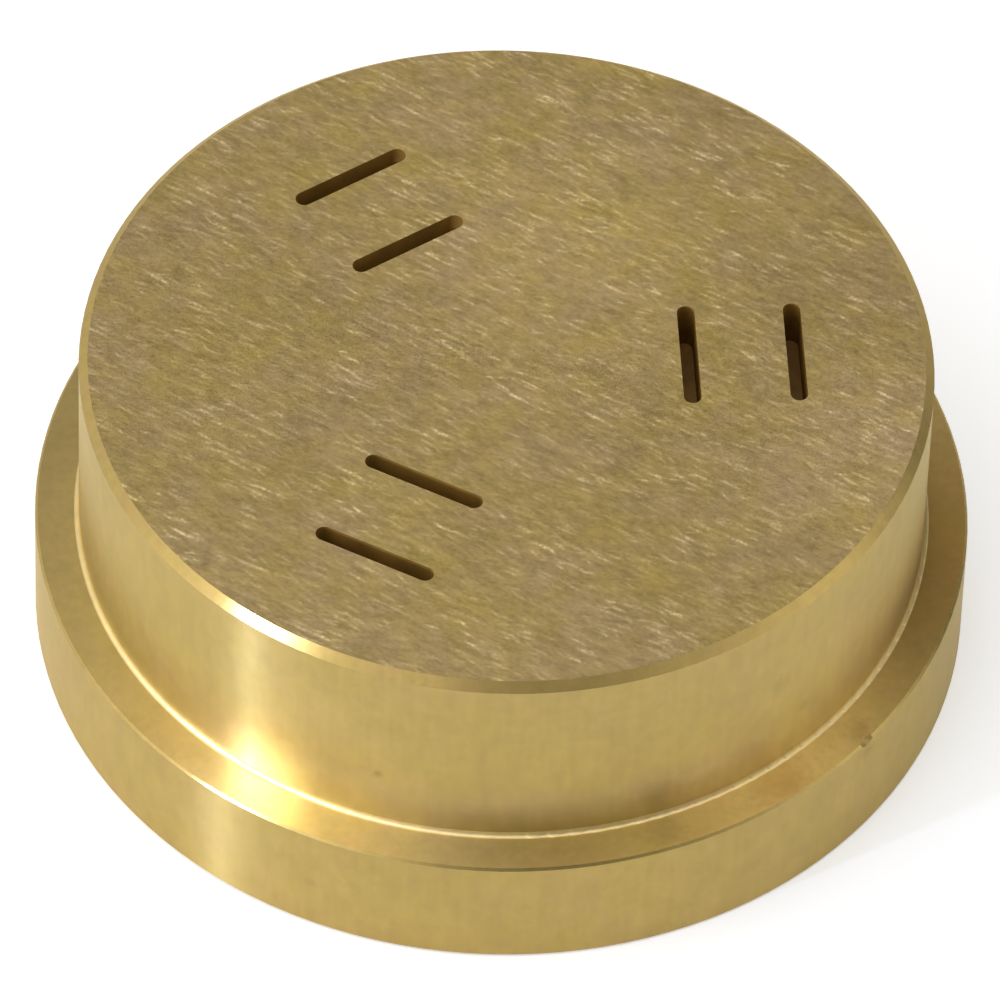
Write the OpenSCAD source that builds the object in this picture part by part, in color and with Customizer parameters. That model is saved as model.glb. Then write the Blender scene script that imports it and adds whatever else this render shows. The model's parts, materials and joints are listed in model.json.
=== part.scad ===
// Pasta extrusion die for flat ribbons, turned from one piece of bronze.
// The die stands on its back face: the origin is the middle of that face and +Z points out of the
// front face, the way the ribbons leave. One pair of slots lies on +X. Millimetres throughout.

/* [Turned body] */
// Diameter of the flange that sits in the machine's head
flange_d = 58.5; // [56:0.5:66]
// Thickness of the flange, from the back face to the ledge
flange_t = 8.4; // [5:0.1:14]
// Diameter of the boss that stands through the ring nut
boss_d = 53; // [50:0.5:55.5]
// Height of the boss, from the ledge to the front face
boss_h = 14.1; // [8:0.1:24]

/* [Turned edges] */
// Chamfer round the front face
front_chamfer = 0.55; // [0.2:0.05:1.5]
// Radius that the turning tool leaves between the boss and the ledge
corner_r = 0.3; // [0.1:0.05:1]
// Break of the flange's upper edge
ledge_break = 0.15; // [0.1:0.05:0.6]
// Chamfer round the back face
back_chamfer = 0.15; // [0.1:0.05:1.5]

/* [Ribbon slots] */
// Number of slot pairs round the die
pair_count = 3; // [2:1:4]
// Distance from the die's axis to the middle of a pair
pair_r = 14.6; // [13:0.1:16.5]
// Distance between the two slots of a pair, middle to middle
slot_pitch = 6.6; // [3:0.1:8]
// Length of a slot over its round ends, which is the ribbon's width
slot_len = 8; // [5:0.1:9.5]
// Width of a slot, which is the ribbon's thickness
slot_w = 1.1; // [0.5:0.05:2]

/* [Feed pockets] */
// Thickness of the front wall that the slots are cut through
land_t = 3.5; // [1.5:0.1:7]
// Room between the slots' far corners and the pocket's wall
feed_margin = 1.7; // [0.5:0.1:2.5]
// Countersink round each pocket's mouth
mouth_chamfer = 0.8; // [0.2:0.1:1.5]

/* [Wear] */
// Place of the dent on the flange's upper edge, in degrees from +X
dent_angle = 317.5; // [0:0.5:359.5]
// Radius of the knock that made the dent
dent_r = 0.8; // [0.4:0.05:1.5]
// Depth of the dent, measured square to the broken edge
dent_depth = 0.2; // [0.1:0.05:0.4]

/* [Hidden] */
$fn = 180;

flange_r = flange_d / 2;
boss_r = boss_d / 2;
total_h = flange_t + boss_h;

// A slot's round ends are half circles, so its straight part is shorter by one width.
slot_end_r = slot_w / 2;
slot_straight = slot_len - slot_w;

// A pocket is a circle about the pair's middle that clears the slots' far ends.
slot_reach = norm([slot_pitch / 2, slot_straight / 2]) + slot_end_r;
feed_r = slot_reach + feed_margin;
feed_depth = total_h - land_t;

// Slope of the flange's broken edge, in degrees.
edge_slope = 45;

// How far a cut runs past the face that it opens.
cut_over = 0.5;

// Half section of the turned body: radius along x, height along y.
module turned_profile() {
    polygon([
        [0, 0],
        [flange_r - back_chamfer, 0],
        [flange_r, back_chamfer],
        [flange_r, flange_t - ledge_break],
        [flange_r - ledge_break, flange_t],
        [boss_r, flange_t],
        [boss_r, total_h - front_chamfer],
        [boss_r - front_chamfer, total_h],
        [0, total_h]
    ]);
    translate([boss_r, flange_t])
        inside_corner(corner_r);
}

// Quarter-round fillet in the corner of the +x and +y axes.
module inside_corner(r) {
    difference() {
        square(r);
        translate([r, r])
            circle(r);
    }
}

// Outline of one slot, lying along y.
module slot_outline() {
    square([slot_w, slot_straight], center = true);
    for (side = [-1, 1])
        translate([0, side * slot_straight / 2])
            circle(slot_end_r);
}

// Both slots of one pair, cut through the land from the front face into the pocket.
module slot_pair() {
    for (side = [-1, 1])
        translate([side * slot_pitch / 2, 0, feed_depth - cut_over])
            linear_extrude(land_t + 2 * cut_over)
                slot_outline();
}

// Flat-bottomed pocket bored from the back face, with a countersunk mouth.
module feed_pocket() {
    translate([0, 0, -cut_over])
        cylinder(r = feed_r, h = feed_depth + cut_over);
    translate([0, 0, -cut_over])
        cylinder(
            r1 = feed_r + mouth_chamfer + cut_over,
            r2 = feed_r,
            h = mouth_chamfer + cut_over
        );
}

// Everything that is cut for one pair, placed round the axis.
module pair_cut(angle) {
    rotate(angle)
        translate([pair_r, 0, 0]) {
            slot_pair();
            feed_pocket();
        }
}

// Round dent knocked into the flange's upper edge, square to the broken edge.
module edge_dent() {
    edge_inset = ledge_break / 2;
    lift = (dent_r - dent_depth) * cos(edge_slope);
    rotate(dent_angle)
        translate([flange_r - edge_inset + lift, 0, flange_t - edge_inset + lift])
            sphere(dent_r);
}

module die() {
    color("darkgoldenrod")
        difference() {
            rotate_extrude()
                turned_profile();
            for (i = [0 : pair_count - 1])
                pair_cut(i * 360 / pair_count);
            edge_dent();
        }
}

die();
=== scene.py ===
"""Looks of a bronze pasta extrusion die on a white table.

The walls are turned, the front face is brushed, and the slots and pockets are dull.
"""

import json
import math

import bpy
import numpy as np
from mathutils import Matrix, Vector


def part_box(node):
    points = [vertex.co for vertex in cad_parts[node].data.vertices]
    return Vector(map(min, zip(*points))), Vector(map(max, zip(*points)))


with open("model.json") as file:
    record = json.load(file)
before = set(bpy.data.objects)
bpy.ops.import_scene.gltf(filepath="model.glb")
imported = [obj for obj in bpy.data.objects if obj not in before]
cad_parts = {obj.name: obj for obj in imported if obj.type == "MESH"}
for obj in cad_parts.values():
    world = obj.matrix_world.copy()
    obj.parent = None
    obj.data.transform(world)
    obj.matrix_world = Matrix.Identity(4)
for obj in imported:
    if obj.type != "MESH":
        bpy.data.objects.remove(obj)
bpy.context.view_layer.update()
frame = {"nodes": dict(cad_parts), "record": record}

MM = 0.001

# Sizes of the die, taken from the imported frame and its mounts
die = frame["nodes"]["die"]
die_low, die_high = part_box("die")
mounts = {mount["name"]: mount for mount in frame["record"]["mounts"]}
BOSS_R = mounts["boss"]["dims"]["r_mm"] * MM
FLANGE_R = mounts["flange_rim"]["dims"]["r_mm"] * MM
BOSS_HALF = mounts["boss"]["dims"]["length_mm"] * MM / 2
BOSS_MIDDLE = mounts["boss"]["pos_m"][2]
LEDGE_Z = mounts["ring_ledge"]["pos_m"][2]
FRONT_Z = die_high.z
BACK_Z = die_low.z
CENTRE = Vector((0, 0, (FRONT_Z + BACK_Z) / 2))
CORNER_R = BOSS_MIDDLE - BOSS_HALF - LEDGE_Z
CHAMFER_Z = BOSS_MIDDLE + BOSS_HALF

# Sizes that the frame doesn't hold, as they are in the part's source
LAND_T = 3.5 * MM
MOUTH_T = 0.8 * MM
DENT_ANGLE = 317.5

# Limits for telling the faces apart
NEAR = 0.001 * MM
WALL_MARGIN = 1 * MM
DENT_REACH = 0.75 * MM

# Middle part of a noise's values, which is stretched to the full effect
NOISE_SPAN = (0.3, 0.7)

# Step between the layers of a pattern, so that no two are alike
LAYER_SHIFT = 17.3

# The belt's direction across the front face, in degrees from +X
BRUSH_ANGLE = -30

# Hair scratches of the belt: turn in degrees from +X, length and width of one scratch's cell, and weight
HAIR_CELLS = [
    (-33, 3.4 * MM, 0.60 * MM, 1.0),
    (-26, 2.6 * MM, 0.54 * MM, 0.9),
    (-40, 2.8 * MM, 0.54 * MM, 0.9),
    (-14, 2.0 * MM, 0.50 * MM, 0.8),
    (-52, 2.0 * MM, 0.50 * MM, 0.7),
    (-35, 5.0 * MM, 0.64 * MM, 0.9),
]
HAIR_REACH = 0.28
HAIR_PICK = (0.45, 0.98)
# Pale colour added on the scratches: a painted glint, where the real scratches catch the light.
HAIR_PAINTED_GLINT = (0.30, 0.253, 0.155)

# Clusters of scratches, and the breaks along each of them
CLUSTER_SIZE = 4 * MM
CLUSTER_SPAN = (0.32, 0.68)
CLUSTER_SHARE = (0.25, 1.3)
BREAK_SIZE = 0.22 * MM
BREAK_SHARE = (0.5, 1.5)

# Grain between the scratches: turn, length, width, and the share of the colour that it adds or takes
GRAIN = [
    (-33, 2.20 * MM, 0.70 * MM, 0.090),
    (-12, 1.20 * MM, 0.55 * MM, 0.056),
    (-52, 1.20 * MM, 0.55 * MM, 0.056),
    (-33, 0.80 * MM, 0.34 * MM, 0.090),
    (-25, 0.30 * MM, 0.20 * MM, 0.100),
    (-20, 3.00 * MM, 2.20 * MM, 0.070),
]
GRAIN_SPAN = (0.25, 0.75)
GRAIN_LEVEL = 0.96

# Surface of the front face: the belt's strokes, and specks where the older turned finish shows
STROKE_DEPTH = 0.0015 * MM
FRONT_ROUGHNESS = (0.29, 0.37)
FRONT_ANISOTROPY = 0.8
SPECKLE_SIZE = 0.10 * MM
SPECKLE_EDGE = 0.02
TURNED_SHOWS = 0.60

# Texture of the turned faces: size, detail and roughness of a noise, and the share that it adds or takes
TURNED_TEXTURE = [
    ((5 * MM, 5 * MM, 4 * MM), 3, 0.5, 0.030),
    ((40 * MM, 40 * MM, 0.12 * MM), 2, 0.5, 0.012),
    ((0.5 * MM, 0.5 * MM, 5 * MM), 1, 0.5, 0.022),
    ((1.1 * MM, 1.1 * MM, 1.5 * MM), 3, 0.6, 0.050),
]
WALL_ROUGHNESS = 0.24
CHAMFER_ROUGHNESS = 0.28
LEDGE_ROUGHNESS = 0.30
BACK_ROUGHNESS = 0.42
CORNER_ROUGHNESS = 0.45
TURNED_ANISOTROPY = 1.0
CORNER_ANISOTROPY = 0.2
QUARTER_TURN = 0.25

# How much the corner's facets count beside its true round
FACET_SHARE = 0.45

# Colours of the bronze, linear
FRONT_OLIVE = (0.54, 0.386, 0.112, 1)
FRONT_PINK = (0.53, 0.370, 0.173, 1)
BOSS_COLOUR = (0.64, 0.47, 0.160, 1)
FLANGE_COLOUR = (0.62, 0.45, 0.150, 1)
# The ledge is paler than the walls, partly as painted highlight, so that its highlights come out brighter
# and whiter.
LEDGE_COLOUR = (0.77, 0.57, 0.22, 1)
CHAMFER_COLOUR = (0.69, 0.49, 0.16, 1)
# The corner is much paler than the walls: painted highlight, for the bright line at the foot of the boss.
CORNER_COLOUR = (0.92, 0.72, 0.34, 1)
SLOT_COLOUR = (0.278, 0.152, 0.028)
POCKET_COLOUR = (0.78, 0.54, 0.21)
DENT_COLOUR = (0.56, 0.39, 0.13)
EDGE_TINT = (1.0, 0.97, 0.82, 1)

# Patches of two sizes, and the tints between which they vary on the turned faces
FRONT_PATCHES = (2.2 * MM, 7 * MM)
TURNED_PATCHES = (1.5 * MM, 6 * MM)
OLIVE_SHARE = (0.99, 1.01, 0.93, 1)
PINK_SHARE = (1.01, 0.985, 1.07, 1)

# Dull faces: metallic and roughness of each, their shine, and their stains
SLOT_DULL = (0.0, 0.9)
POCKET_DULL = (0.6, 0.5)
DENT_DULL = (0.9, 0.5)
DULL_SPECULAR = 0.05
STAIN_SIZE = 2 * MM
STAIN_SHARE = (0.8, 1.2)

# The boss is paler just above the ledge, in place of light that the room here doesn't give
FOOT_SHARE = (1.0, 1.15, 1.9)
FOOT_REACH = 4.5 * MM

# Marks: angle in degrees, radius, height, size, and the share of each colour that they leave.
# The small ones are stains and knocks. Those of 5 mm and more are painted light and shade:
# broad tints that stand in for light that the room here doesn't give.
# All painted highlights on the front face, none of them stains.
FRONT_PAINTED_HIGHLIGHTS = [
    (58.0, 9 * MM, FRONT_Z, 15 * MM, (1.17, 1.17, 1.17)),
    (340.0, 24 * MM, FRONT_Z, 14 * MM, (1.18, 1.18, 1.28)),
    (103.0, 22 * MM, FRONT_Z, 12 * MM, (1.05, 1.05, 1.10)),
]
# All painted shade and light on the chamfer, none of them stains.
CHAMFER_PAINTED_SHADE_AND_LIGHT = [
    (246.0, BOSS_R, FRONT_Z, 6 * MM, (0.76, 0.76, 0.80)),
    (205.0, BOSS_R, FRONT_Z, 14 * MM, (0.86, 0.87, 0.93)),
    (336.0, BOSS_R, FRONT_Z, 5 * MM, (1.25, 1.25, 1.30)),
]
BOSS_MARKS_AND_PAINTED_LIGHT = [
    (250.0, BOSS_R, 12.8 * MM, 0.5 * MM, (0.75, 0.74, 0.72)),
    (288.5, BOSS_R, 10.3 * MM, 2.4 * MM, (0.86, 0.83, 0.80)),
    (306.5, BOSS_R, 16.0 * MM, 1.0 * MM, (0.93, 0.92, 0.90)),
    (311.0, BOSS_R, 12.3 * MM, 0.8 * MM, (0.84, 0.82, 0.80)),
    # Painted highlight, lighter at the right end of the foot; the ones above are stains and specks.
    (336.0, BOSS_R, 10.5 * MM, 8 * MM, (1.15, 1.15, 1.18)),
]
FLANGE_MARKS = [
    (248.5, FLANGE_R, 4.95 * MM, 0.6 * MM, (0.93, 0.92, 0.91)),
    (243.5, FLANGE_R, 3.85 * MM, 0.6 * MM, (0.93, 0.92, 0.91)),
    (317.5, FLANGE_R, 7.4 * MM, 1.1 * MM, (0.86, 0.83, 0.80)),
]
LEDGE_MARKS_AND_PAINTED_LIGHT = [
    (318.2, 28.5 * MM, LEDGE_Z, 1.4 * MM, (0.84, 0.81, 0.78)),
    (305.0, 28.0 * MM, LEDGE_Z, 3.2 * MM, (0.84, 0.76, 0.74)),
    (288.0, 27.8 * MM, LEDGE_Z, 2.2 * MM, (0.84, 0.83, 0.82)),
    # Painted shade: darker and warmer on the far right, where the boss shades the ledge.
    (350.0, 28.0 * MM, LEDGE_Z, 20 * MM, (1.00, 0.85, 0.62)),
    # Painted highlight, paler and bluer at the front.
    (258.0, 28.0 * MM, LEDGE_Z, 9 * MM, (1.02, 1.10, 1.38)),
    # Painted shade, darker at the left; the three above these are knocks and stains.
    (207.0, 28.0 * MM, LEDGE_Z, 18 * MM, (0.87, 0.90, 0.88)),
]
RAGGED_SIZE = 0.5 * MM
RAGGED_REACH = (0.7, 1.3)

# Room that the metal mirrors: its own grey, and sides as azimuth, elevation, reach in degrees and strength
ROOM_GREY = 0.43
ROOM_DARK = 0.08
ROOM_SIDES = [
    (185, 20, 70, 0.46),
    (224, 38, 50, 0.42),
    (188, 45, 45, 0.18),
    (336, 35, 50, 0.45),
    (0, 90, 50, 0.80),
    (50, 20, 53, -0.50),
    (287, 25, 60, -0.60),
]

# Daylight: azimuth and elevation in degrees, width and height in metres, and power in watts
LAMP = (209, 10, 0.02, 0.02, 2.1)
WINDOW = (205.5, 40, 0.155, 0.34, 2.35)
LIGHT_DISTANCE = 0.8
LIGHT_COLOUR = (0.82, 0.96, 1.45)

# Floor, and the white that it adds for the camera outside the die and for mirrored rays
WHITE = (1, 1, 1, 1)
FLOOR_COLOUR = (0.86, 0.86, 0.86, 1)
FLOOR_HALF = 2.0
FLOOR_Z = BACK_Z - 0.05 * MM
FLOOR_SEEN = 0.40
FLOOR_EDGE = 1 * MM
FLOOR_MIRRORED = (0.14, 0.02)
FLOOR_REACH = (-10 * MM, -60 * MM)

# Camera, found from the outlines and the slots. Its azimuth is counted from -Y.
CAMERA_AZIMUTH = -4.716
CAMERA_ELEVATION = 49.300
CAMERA_ROLL = 2.071
CAMERA_DISTANCE = 785.93 * MM
CAMERA_LENS = 452.4
CAMERA_SENSOR = 36
CAMERA_NEAREST = 0.01
AIM_RIGHT = -0.171 * MM
AIM_UP = -1.383 * MM


def direction(azimuth, elevation):
    """Unit vector that points to an azimuth, counted from +X, and an elevation, in degrees."""
    turn = math.radians(azimuth)
    rise = math.radians(elevation)
    return Vector((math.cos(turn) * math.cos(rise), math.sin(turn) * math.cos(rise), math.sin(rise)))


def node(tree, kind, inputs=None, **settings):
    """Adds a shader node, sets its properties, and links or fills its inputs."""
    made = tree.nodes.new(kind)
    for name, value in settings.items():
        setattr(made, name, value)
    for socket, value in (inputs or {}).items():
        if isinstance(value, bpy.types.NodeSocket):
            tree.links.new(value, made.inputs[socket])
        else:
            made.inputs[socket].default_value = value
    return made


def math_node(tree, operation, a, b):
    return node(tree, "ShaderNodeMath", {0: a, 1: b}, operation=operation).outputs[0]


def vector_math(tree, operation, *terms):
    """Vector that an operation makes of its terms."""
    return node(tree, "ShaderNodeVectorMath", dict(enumerate(terms)), operation=operation).outputs[0]


def vector_value(tree, operation, *terms):
    """Number that an operation makes of its vectors."""
    return node(tree, "ShaderNodeVectorMath", dict(enumerate(terms)), operation=operation).outputs["Value"]


def scale_colour(tree, colour, factor):
    return node(tree, "ShaderNodeVectorMath", {0: colour, "Scale": factor}, operation="SCALE").outputs[0]


def remap(tree, value, from_low, from_high, to_low, to_high, curve="LINEAR"):
    inputs = {0: value, 1: from_low, 2: from_high, 3: to_low, 4: to_high}
    return node(tree, "ShaderNodeMapRange", inputs, interpolation_type=curve).outputs[0]


def noise(tree, vector, detail, roughness=0.5):
    inputs = {"Vector": vector, "Scale": 1.0, "Detail": detail, "Roughness": roughness}
    return node(tree, "ShaderNodeTexNoise", inputs).outputs["Fac"]


def object_place(tree):
    return node(tree, "ShaderNodeTexCoord").outputs["Object"]


def stretched(tree, vector, size, turn=0.0, shift=0.0):
    """Coordinates turned about Z, counted in steps of a size and shifted, for noise that runs one way."""
    inputs = {"Vector": vector, "Axis": (0, 0, 1), "Angle": math.radians(-turn)}
    turned = node(tree, "ShaderNodeVectorRotate", inputs).outputs[0]
    steps = tuple(1 / length for length in size)
    return vector_math(tree, "MULTIPLY_ADD", turned, steps, (shift, shift, shift))


def two_tints(tree, share, first, second):
    inputs = {0: share, "A": first, "B": second}
    return node(tree, "ShaderNodeMix", inputs, data_type="RGBA").outputs["Result"]


def two_vectors(tree, share, first, second):
    inputs = {0: share, 4: first, 5: second}
    return node(tree, "ShaderNodeMix", inputs, data_type="VECTOR").outputs[1]


def new_material(name):
    """Metal with nothing set yet: the material, its nodes, its shader and the place on the die."""
    material = bpy.data.materials.new(name)
    material.use_nodes = True
    tree = material.node_tree
    tree.nodes.clear()
    output = node(tree, "ShaderNodeOutputMaterial")
    shader = node(tree, "ShaderNodeBsdfPrincipled", {"Metallic": 1.0})
    tree.links.new(shader.outputs[0], output.inputs["Surface"])
    return material, tree, shader, object_place(tree)


def outward(tree, place):
    """Unit vector away from the die's axis."""
    level = vector_math(tree, "MULTIPLY", place, (1, 1, 0))
    return vector_math(tree, "NORMALIZE", level)


def hairs(tree, place):
    """Hair scratches that the belt leaves in clusters, from 0 to about 1. They bump the face and change its
    roughness, and the pale colour laid on them is a painted glint.
    """
    total = 0.0
    for layer, (turn, length, width, weight) in enumerate(HAIR_CELLS):
        grid = stretched(tree, place, (length, width, 1), turn, LAYER_SHIFT * layer)
        cells = node(tree, "ShaderNodeTexVoronoi", {"Vector": grid, "Scale": 1.0}, voronoi_dimensions="2D")
        shape = remap(tree, cells.outputs["Distance"], 0, HAIR_REACH, weight, 0)
        picked = remap(tree, cells.outputs["Color"], *HAIR_PICK, 0, 1)
        total = math_node(tree, "ADD", math_node(tree, "MULTIPLY", shape, picked), total)
    cluster = noise(tree, stretched(tree, place, (CLUSTER_SIZE, CLUSTER_SIZE, 1)), detail=1)
    broken = noise(tree, stretched(tree, place, (BREAK_SIZE, BREAK_SIZE, 1)), detail=0)
    total = math_node(tree, "MULTIPLY", total, remap(tree, cluster, *CLUSTER_SPAN, *CLUSTER_SHARE))
    return math_node(tree, "MULTIPLY", total, remap(tree, broken, *NOISE_SPAN, *BREAK_SHARE))


def grain(tree, place):
    """Even grain of the belt's finish, as a factor about 1."""
    total = GRAIN_LEVEL
    for layer, (turn, length, width, share) in enumerate(GRAIN):
        level = noise(tree, stretched(tree, place, (length, width, 1), turn, LAYER_SHIFT * layer), detail=1)
        total = math_node(tree, "ADD", remap(tree, level, *GRAIN_SPAN, -share, share), total)
    return total


def patches(tree, place, sizes):
    """Soft patches of two sizes, from 0 to 1."""
    small, large = (noise(tree, stretched(tree, place, (size, size, size)), detail=1) for size in sizes)
    small_half = remap(tree, small, *NOISE_SPAN, 0, 0.5)
    large_half = remap(tree, large, *NOISE_SPAN, 0, 0.5)
    return math_node(tree, "ADD", small_half, large_half)


def marks(tree, place, spots_and_painted_light):
    """Share of each colour that is left round the marks, which have ragged borders. Small marks are stains
    and knocks; broad ones are painted light and shade.
    """
    ragged = noise(tree, stretched(tree, place, (RAGGED_SIZE, RAGGED_SIZE, RAGGED_SIZE)), detail=2)
    left = (1, 1, 1)
    for angle, radius, height, size, share in spots_and_painted_light:
        middle = direction(angle, 0) * radius + Vector((0, 0, height))
        away = vector_value(tree, "DISTANCE", place, middle)
        away = math_node(tree, "MULTIPLY", away, remap(tree, ragged, *NOISE_SPAN, *RAGGED_REACH))
        inside = remap(tree, away, 0.0, size, 1.0, 0.0, "SMOOTHSTEP")
        spot = two_vectors(tree, inside, (1, 1, 1), share)
        left = vector_math(tree, "MULTIPLY", spot, left)
    return left


def brushed_colour(tree, place, scratches, texture):
    """Patches of olive and pink under the grain, with painted glints on the scratches and broad painted
    highlights.
    """
    tint = two_tints(tree, patches(tree, place, FRONT_PATCHES), FRONT_OLIVE, FRONT_PINK)
    field = scale_colour(tree, tint, texture)
    # Painted glint on the scratches.
    glow = scale_colour(tree, HAIR_PAINTED_GLINT, scratches)
    colour = vector_math(tree, "ADD", field, glow)
    return vector_math(tree, "MULTIPLY", colour, marks(tree, place, FRONT_PAINTED_HIGHLIGHTS))


def brushed_tangent(tree, place):
    """Direction across the belt, with specks where the highlight follows the turning instead."""
    across = direction(BRUSH_ANGLE + 90, 0)
    speckle = noise(tree, stretched(tree, place, (SPECKLE_SIZE, SPECKLE_SIZE, 1)), detail=0)
    turned = remap(tree, speckle, TURNED_SHOWS, TURNED_SHOWS + SPECKLE_EDGE, 0, 1)
    return two_vectors(tree, turned, across, outward(tree, place))


def brushed_bronze():
    """Front face: straight scratches from a belt over faint turning marks."""
    material, tree, shader, place = new_material("brushed_bronze")
    scratches = hairs(tree, place)
    texture = grain(tree, place)
    height = math_node(tree, "ADD", scratches, texture)
    bump = node(tree, "ShaderNodeBump", {"Height": height, "Strength": 1.0, "Distance": STROKE_DEPTH})
    tree.links.new(brushed_colour(tree, place, scratches, texture), shader.inputs["Base Color"])
    tree.links.new(remap(tree, scratches, 0, 1, *FRONT_ROUGHNESS), shader.inputs["Roughness"])
    tree.links.new(brushed_tangent(tree, place), shader.inputs["Tangent"])
    tree.links.new(bump.outputs[0], shader.inputs["Normal"])
    shader.inputs["Anisotropic"].default_value = FRONT_ANISOTROPY
    return material


def turned_colour(tree, place, colour, spots_and_painted_light):
    """Patches of two tints of a colour, with grooves, streaks, specks, stains, knocks and painted light and
    shade.
    """
    olive = tuple(channel * share for channel, share in zip(colour, OLIVE_SHARE))
    pink = tuple(channel * share for channel, share in zip(colour, PINK_SHARE))
    tint = two_tints(tree, patches(tree, place, TURNED_PATCHES), olive, pink)
    factor = 1.0
    for size, detail, roughness, share in TURNED_TEXTURE:
        level = noise(tree, stretched(tree, place, size), detail, roughness)
        factor = math_node(tree, "ADD", factor, remap(tree, level, *NOISE_SPAN, -share, share))
    return vector_math(tree, "MULTIPLY", scale_colour(tree, tint, factor), marks(tree, place, spots_and_painted_light))


def turned_bronze(name, colour, roughness, spots_and_painted_light=()):
    """Lathe-turned face: fine grooves round the axis, with a highlight that spreads across them."""
    material, tree, shader, place = new_material(name)
    tangent = node(tree, "ShaderNodeTangent", direction_type="RADIAL", axis="Z")
    tree.links.new(turned_colour(tree, place, colour, spots_and_painted_light), shader.inputs["Base Color"])
    tree.links.new(tangent.outputs[0], shader.inputs["Tangent"])
    shader.inputs["Roughness"].default_value = roughness
    shader.inputs["Specular Tint"].default_value = EDGE_TINT
    shader.inputs["Anisotropic"].default_value = TURNED_ANISOTROPY
    shader.inputs["Anisotropic Rotation"].default_value = QUARTER_TURN
    return material


def shader_of(material):
    return next(made for made in material.node_tree.nodes if made.bl_idname == "ShaderNodeBsdfPrincipled")


def boss_bronze():
    """Wall of the boss, with a painted highlight that makes it paler and bluer in the corner above the
    ledge.
    """
    material = turned_bronze("turned_boss", BOSS_COLOUR, WALL_ROUGHNESS, BOSS_MARKS_AND_PAINTED_LIGHT)
    tree = material.node_tree
    colour = shader_of(material).inputs["Base Color"]
    height = node(tree, "ShaderNodeSeparateXYZ", {0: object_place(tree)}).outputs["Z"]
    near_ledge = remap(tree, height, LEDGE_Z, LEDGE_Z + FOOT_REACH, 1, 0)
    share = two_vectors(tree, near_ledge, (1, 1, 1), FOOT_SHARE)
    paler = vector_math(tree, "MULTIPLY", colour.links[0].from_socket, share)
    tree.links.new(paler, colour)
    return material


def corner_bronze():
    """Small radius at the foot of the boss, whose true normal points to the middle of its round."""
    material = turned_bronze("turned_corner", CORNER_COLOUR, CORNER_ROUGHNESS)
    tree = material.node_tree
    shader = shader_of(material)
    place = object_place(tree)
    ring_r = BOSS_R + CORNER_R
    ring_z = LEDGE_Z + CORNER_R
    ring = vector_math(tree, "MULTIPLY_ADD", outward(tree, place), (ring_r, ring_r, 0), (0, 0, ring_z))
    toward = vector_math(tree, "SUBTRACT", ring, place)
    round_normal = vector_math(tree, "NORMALIZE", toward)
    facet = node(tree, "ShaderNodeNewGeometry").outputs["True Normal"]
    facet_share = (FACET_SHARE, FACET_SHARE, FACET_SHARE)
    blend = vector_math(tree, "MULTIPLY_ADD", facet, facet_share, round_normal)
    tree.links.new(vector_math(tree, "NORMALIZE", blend), shader.inputs["Normal"])
    shader.inputs["Anisotropic"].default_value = CORNER_ANISOTROPY
    return material


def dull_bronze(name, colour, metallic, roughness):
    """Inside of the slots, the pockets and the dent: dull and stained."""
    material, tree, shader, place = new_material(name)
    stains = noise(tree, stretched(tree, place, (STAIN_SIZE, STAIN_SIZE, STAIN_SIZE)), detail=3)
    tint = scale_colour(tree, colour, remap(tree, stains, *NOISE_SPAN, *STAIN_SHARE))
    tree.links.new(tint, shader.inputs["Base Color"])
    shader.inputs["Metallic"].default_value = metallic
    shader.inputs["Specular IOR Level"].default_value = DULL_SPECULAR
    shader.inputs["Roughness"].default_value = roughness
    return material


def make_finishes():
    """Finish of each kind of face, by the face's name."""
    return {
        "front": brushed_bronze(),
        "boss": boss_bronze(),
        "flange": turned_bronze("turned_flange", FLANGE_COLOUR, WALL_ROUGHNESS, FLANGE_MARKS),
        "chamfer": turned_bronze("turned_chamfer", CHAMFER_COLOUR, CHAMFER_ROUGHNESS, CHAMFER_PAINTED_SHADE_AND_LIGHT),
        "ledge": turned_bronze("turned_ledge", LEDGE_COLOUR, LEDGE_ROUGHNESS, LEDGE_MARKS_AND_PAINTED_LIGHT),
        "corner": corner_bronze(),
        "back": turned_bronze("turned_back", FLANGE_COLOUR, BACK_ROUGHNESS),
        "slot": dull_bronze("slot_bronze", SLOT_COLOUR, *SLOT_DULL),
        "pocket": dull_bronze("pocket_bronze", POCKET_COLOUR, *POCKET_DULL),
        "dent": dull_bronze("dent_bronze", DENT_COLOUR, *DENT_DULL),
    }


def face_rules(mesh):
    """Faces of each kind, told by their heights and distances from the axis. A later rule wins."""
    corners = np.empty((len(mesh.vertices), 3))
    mesh.vertices.foreach_get("co", corners.ravel())
    triangles = np.array([polygon.vertices[:] for polygon in mesh.polygons])
    heights = corners[triangles, 2]
    radii = np.hypot(corners[triangles, 0], corners[triangles, 1])
    low = heights.min(axis=1)
    high = heights.max(axis=1)
    outer = radii.max(axis=1)
    knock = np.array(direction(DENT_ANGLE, 0) * FLANGE_R + Vector((0, 0, LEDGE_Z)))
    from_knock = np.linalg.norm(corners[triangles] - knock, axis=2).max(axis=1)
    outside = radii.min(axis=1) > BOSS_R - WALL_MARGIN
    above_ledge = low > LEDGE_Z - NEAR
    in_corner = (high < LEDGE_Z + CORNER_R + NEAR) & (outer < BOSS_R + CORNER_R + NEAR)
    return [
        ("pocket", high < FRONT_Z - LAND_T + NEAR),
        ("back", high < BACK_Z + MOUTH_T + NEAR),
        ("boss", outside),
        ("flange", outside & (high < LEDGE_Z + NEAR)),
        ("chamfer", outside & (low > CHAMFER_Z - NEAR)),
        ("corner", above_ledge & in_corner),
        ("dent", outside & (from_knock < DENT_REACH)),
        ("ledge", above_ledge & (high < LEDGE_Z + NEAR)),
        ("back", high < BACK_Z + NEAR),
        ("front", low > FRONT_Z - NEAR),
    ]


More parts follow.
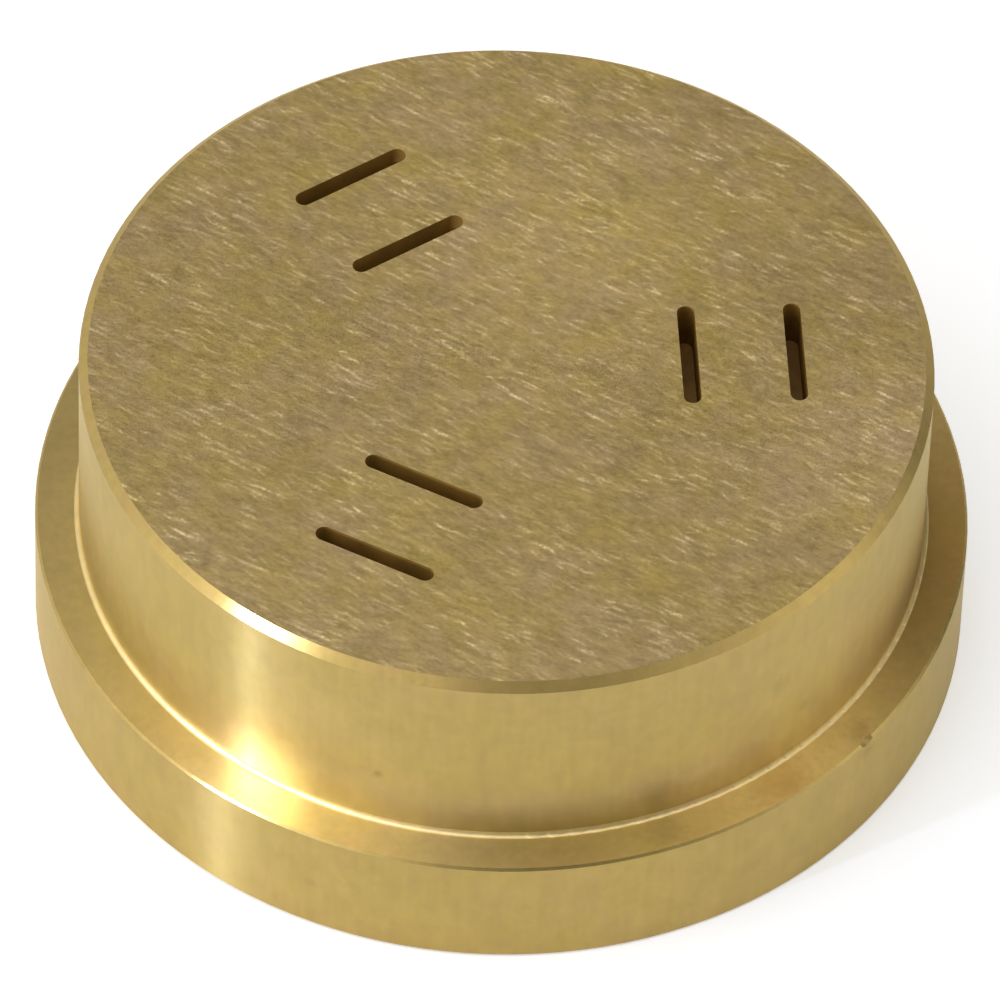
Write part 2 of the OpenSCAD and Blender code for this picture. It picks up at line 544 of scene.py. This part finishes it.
def dress_die():
    """Gives each face of the die the finish of the tool that cut it."""
    finishes = make_finishes()
    names = list(finishes)
    mesh = die.data
    mesh.materials.clear()
    for finish in finishes.values():
        mesh.materials.append(finish)
    index = np.full(len(mesh.polygons), names.index("slot"), dtype=np.int32)
    for name, faces in face_rules(mesh):
        index[faces] = names.index(name)
    mesh.polygons.foreach_set("material_index", index)
    mesh.update()


def floor_glow(tree):
    """White that the floor adds for the camera and, less in front, for rays that the metal mirrors."""
    path = node(tree, "ShaderNodeLightPath").outputs
    mirrored = math_node(tree, "MAXIMUM", path["Is Glossy Ray"], path["Is Transmission Ray"])
    place = object_place(tree)
    away = vector_value(tree, "LENGTH", place)
    uncovered = remap(tree, away, FLANGE_R - FLOOR_EDGE, FLANGE_R, 0, FLOOR_SEEN)
    seen = math_node(tree, "MULTIPLY", path["Is Camera Ray"], uncovered)
    depth = node(tree, "ShaderNodeSeparateXYZ", {0: place}).outputs["Y"]
    level = remap(tree, depth, *FLOOR_REACH, *FLOOR_MIRRORED)
    return math_node(tree, "ADD", seen, math_node(tree, "MULTIPLY", mirrored, level))


def floor_material():
    material = bpy.data.materials.new("floor")
    material.use_nodes = True
    tree = material.node_tree
    tree.nodes.clear()
    diffuse = node(tree, "ShaderNodeBsdfDiffuse", {"Color": FLOOR_COLOUR})
    glow = node(tree, "ShaderNodeEmission", {"Color": WHITE, "Strength": floor_glow(tree)})
    both = node(tree, "ShaderNodeAddShader", {0: diffuse.outputs[0], 1: glow.outputs[0]})
    node(tree, "ShaderNodeOutputMaterial", {"Surface": both.outputs[0]})
    return material


def make_floor():
    """Plain pale table, which keeps the die's shadow."""
    mesh = bpy.data.meshes.new("floor")
    square = [(-1, -1), (1, -1), (1, 1), (-1, 1)]
    corners = [(x * FLOOR_HALF, y * FLOOR_HALF, FLOOR_Z) for x, y in square]
    mesh.from_pydata(corners, [], [(0, 1, 2, 3)])
    floor = bpy.data.objects.new("floor", mesh)
    bpy.context.scene.collection.objects.link(floor)
    mesh.materials.append(floor_material())


def room_level(tree):
    """Brightness of the room in each direction: its own grey, with soft bright and dark sides."""
    toward = node(tree, "ShaderNodeTexCoord").outputs["Generated"]
    level = ROOM_GREY
    for azimuth, elevation, reach, strength in ROOM_SIDES:
        facing = vector_value(tree, "DOT_PRODUCT", toward, direction(azimuth, elevation))
        border = math.cos(math.radians(reach))
        share = remap(tree, facing, border, 1.0, 0.0, strength, "SMOOTHSTEP")
        level = math_node(tree, "ADD", share, level)
    return math_node(tree, "MAXIMUM", level, ROOM_DARK)


def make_world():
    """Room round the table, which the metal mirrors and the camera sees as white."""
    world = bpy.data.worlds.new("studio")
    bpy.context.scene.world = world
    world.use_nodes = True
    tree = world.node_tree
    tree.nodes.clear()
    grey = node(tree, "ShaderNodeBackground", {"Color": WHITE, "Strength": room_level(tree)})
    white = node(tree, "ShaderNodeBackground", {"Color": WHITE, "Strength": 1.0})
    seen = node(tree, "ShaderNodeLightPath").outputs["Is Camera Ray"]
    mix = node(tree, "ShaderNodeMixShader", {0: seen, 1: grey.outputs[0], 2: white.outputs[0]})
    node(tree, "ShaderNodeOutputWorld", {"Surface": mix.outputs[0]})


def add_light(name, azimuth, elevation, width, height, power):
    data = bpy.data.lights.new(name, "AREA")
    data.shape = "RECTANGLE"
    data.size = width
    data.size_y = height
    data.energy = power
    data.color = LIGHT_COLOUR
    light = bpy.data.objects.new(name, data)
    bpy.context.scene.collection.objects.link(light)
    away = direction(azimuth, elevation)
    light.location = CENTRE + away * LIGHT_DISTANCE
    light.rotation_euler = away.to_track_quat("Z", "Y").to_euler()
    return light


def add_camera():
    data = bpy.data.cameras.new("camera")
    data.lens = CAMERA_LENS
    data.sensor_width = CAMERA_SENSOR
    data.clip_start = CAMERA_NEAREST
    camera = bpy.data.objects.new("camera", data)
    bpy.context.scene.collection.objects.link(camera)
    back = direction(CAMERA_AZIMUTH - 90, CAMERA_ELEVATION)
    level_right = Vector((0, 0, 1)).cross(back).normalized()
    level_up = back.cross(level_right)
    roll = math.radians(CAMERA_ROLL)
    right = level_right * math.cos(roll) + level_up * math.sin(roll)
    up = level_up * math.cos(roll) - level_right * math.sin(roll)
    place = CENTRE + back * CAMERA_DISTANCE + right * AIM_RIGHT + up * AIM_UP
    turn = Matrix((right, up, back)).transposed().to_4x4()
    camera.matrix_world = Matrix.Translation(place) @ turn
    bpy.context.scene.camera = camera


dress_die()
make_floor()
make_world()
add_light("lamp", *LAMP)
window = add_light("window", *WINDOW)
window.visible_diffuse = False
add_camera()
bpy.context.scene.view_settings.view_transform = "Standard"
